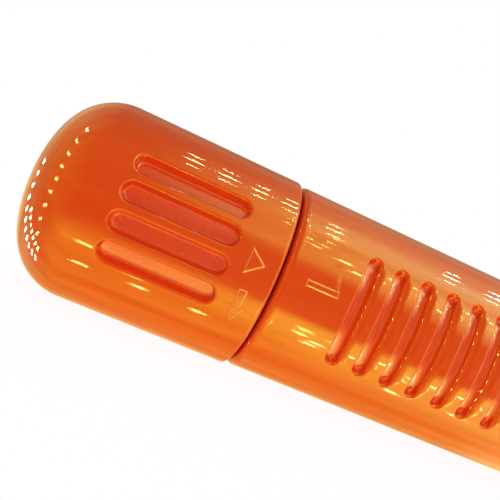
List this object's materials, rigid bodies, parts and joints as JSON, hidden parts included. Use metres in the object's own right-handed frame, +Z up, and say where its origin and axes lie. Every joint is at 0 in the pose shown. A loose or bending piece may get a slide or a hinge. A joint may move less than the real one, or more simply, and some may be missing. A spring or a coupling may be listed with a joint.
{
  "type": "hand-held metal detecting probe",
  "caption": "Hand-held probe that finds small metal objects: grooved handle with a power button, twist-lock battery cap, lamp, and a slim barrel with a search coil and a scraping rib.",
  "frame": {"origin": "on the ground under the middle of the probe as it lies on its side, with the cap touching the ground", "axes": "+X along the probe from the battery cap to the tip, +Z up with the power button on top, -Y is the side that the picture shows"},
  "size_m": [0.2362, 0.0403, 0.0405],
  "materials": {
    "orange_plastic": "gloss",
    "button_rubber": "matte",
    "black_rubber": "matte",
    "foam": "matte",
    "battery_jacket": "satin",
    "plated_metal": "bright",
    "steel": "bright",
    "fibre_plate": "matte",
    "lead_jacket": "satin",
    "black_plastic": "matte",
    "grey_plastic": "matte",
    "board": "satin",
    "capacitor_jacket": "gloss",
    "lamp_resin": "gloss",
    "clear_window": "clear",
    "ferrite": "matte",
    "copper_winding": "lacquered"
  },
  "bodies": {
    "handle": {"handle_shell": "orange_plastic", "battery_case": "battery_jacket", "battery_terminals": "plated_metal", "snap_plate": "fibre_plate", "snap_contacts": "plated_metal", "battery_leads": "lead_jacket", "button_seal": "black_rubber", "push_switch": "black_plastic", "circuit_board": "board", "control_chip": "black_plastic", "small_chips": "black_plastic", "storage_capacitors": "capacitor_jacket", "sounder": "black_plastic", "inner_frame": "grey_plastic", "board_screws": "plated_metal", "vibration_motor": "plated_metal", "motor_leads": "lead_jacket", "probe_shell": "orange_plastic", "joint_ring": "black_rubber", "lamp": "lamp_resin", "lamp_leads": "lead_jacket", "lamp_window": "clear_window", "coil_bobbin": "grey_plastic", "ferrite_rod": "ferrite", "middle_winding": "copper_winding", "end_windings": "copper_winding", "coil_leads": "lead_jacket", "tip_cushion": "foam"},
    "cap": {"battery_cap": "orange_plastic", "cap_seal": "black_rubber", "pressure_pad": "foam"},
    "button": {"power_button": "button_rubber"},
    "plunger": {"switch_plunger": "black_plastic"},
    "vibration_rotor": {"motor_shaft": "steel", "eccentric_weight": "steel"}
  },
  "joints": [
    {"name": "cap_twist", "type": "hinge", "parent": "handle", "child": "cap", "pos_m": [-0.07165, 0, 0.02], "axis": [-1, 0, 0], "range_deg": [0, 60]},
    {"name": "button_press", "type": "slide", "parent": "handle", "child": "button", "axis": [0, 0, -1], "range_m": [0, 0.0005], "stiffness_N_per_m": 1500},
    {"name": "plunger_press", "type": "slide", "parent": "handle", "child": "plunger", "axis": [0, 0, -1], "range_m": [0, 0.0005]},
    {"name": "rotor_spin", "type": "hinge", "parent": "handle", "child": "vibration_rotor", "pos_m": [-0.02685, 0, 0.012], "axis": [1, 0, 0], "continuous": true}
  ],
  "couplings": [
    {"joint": "plunger_press", "follows": "button_press", "ratio": 1}
  ]
}
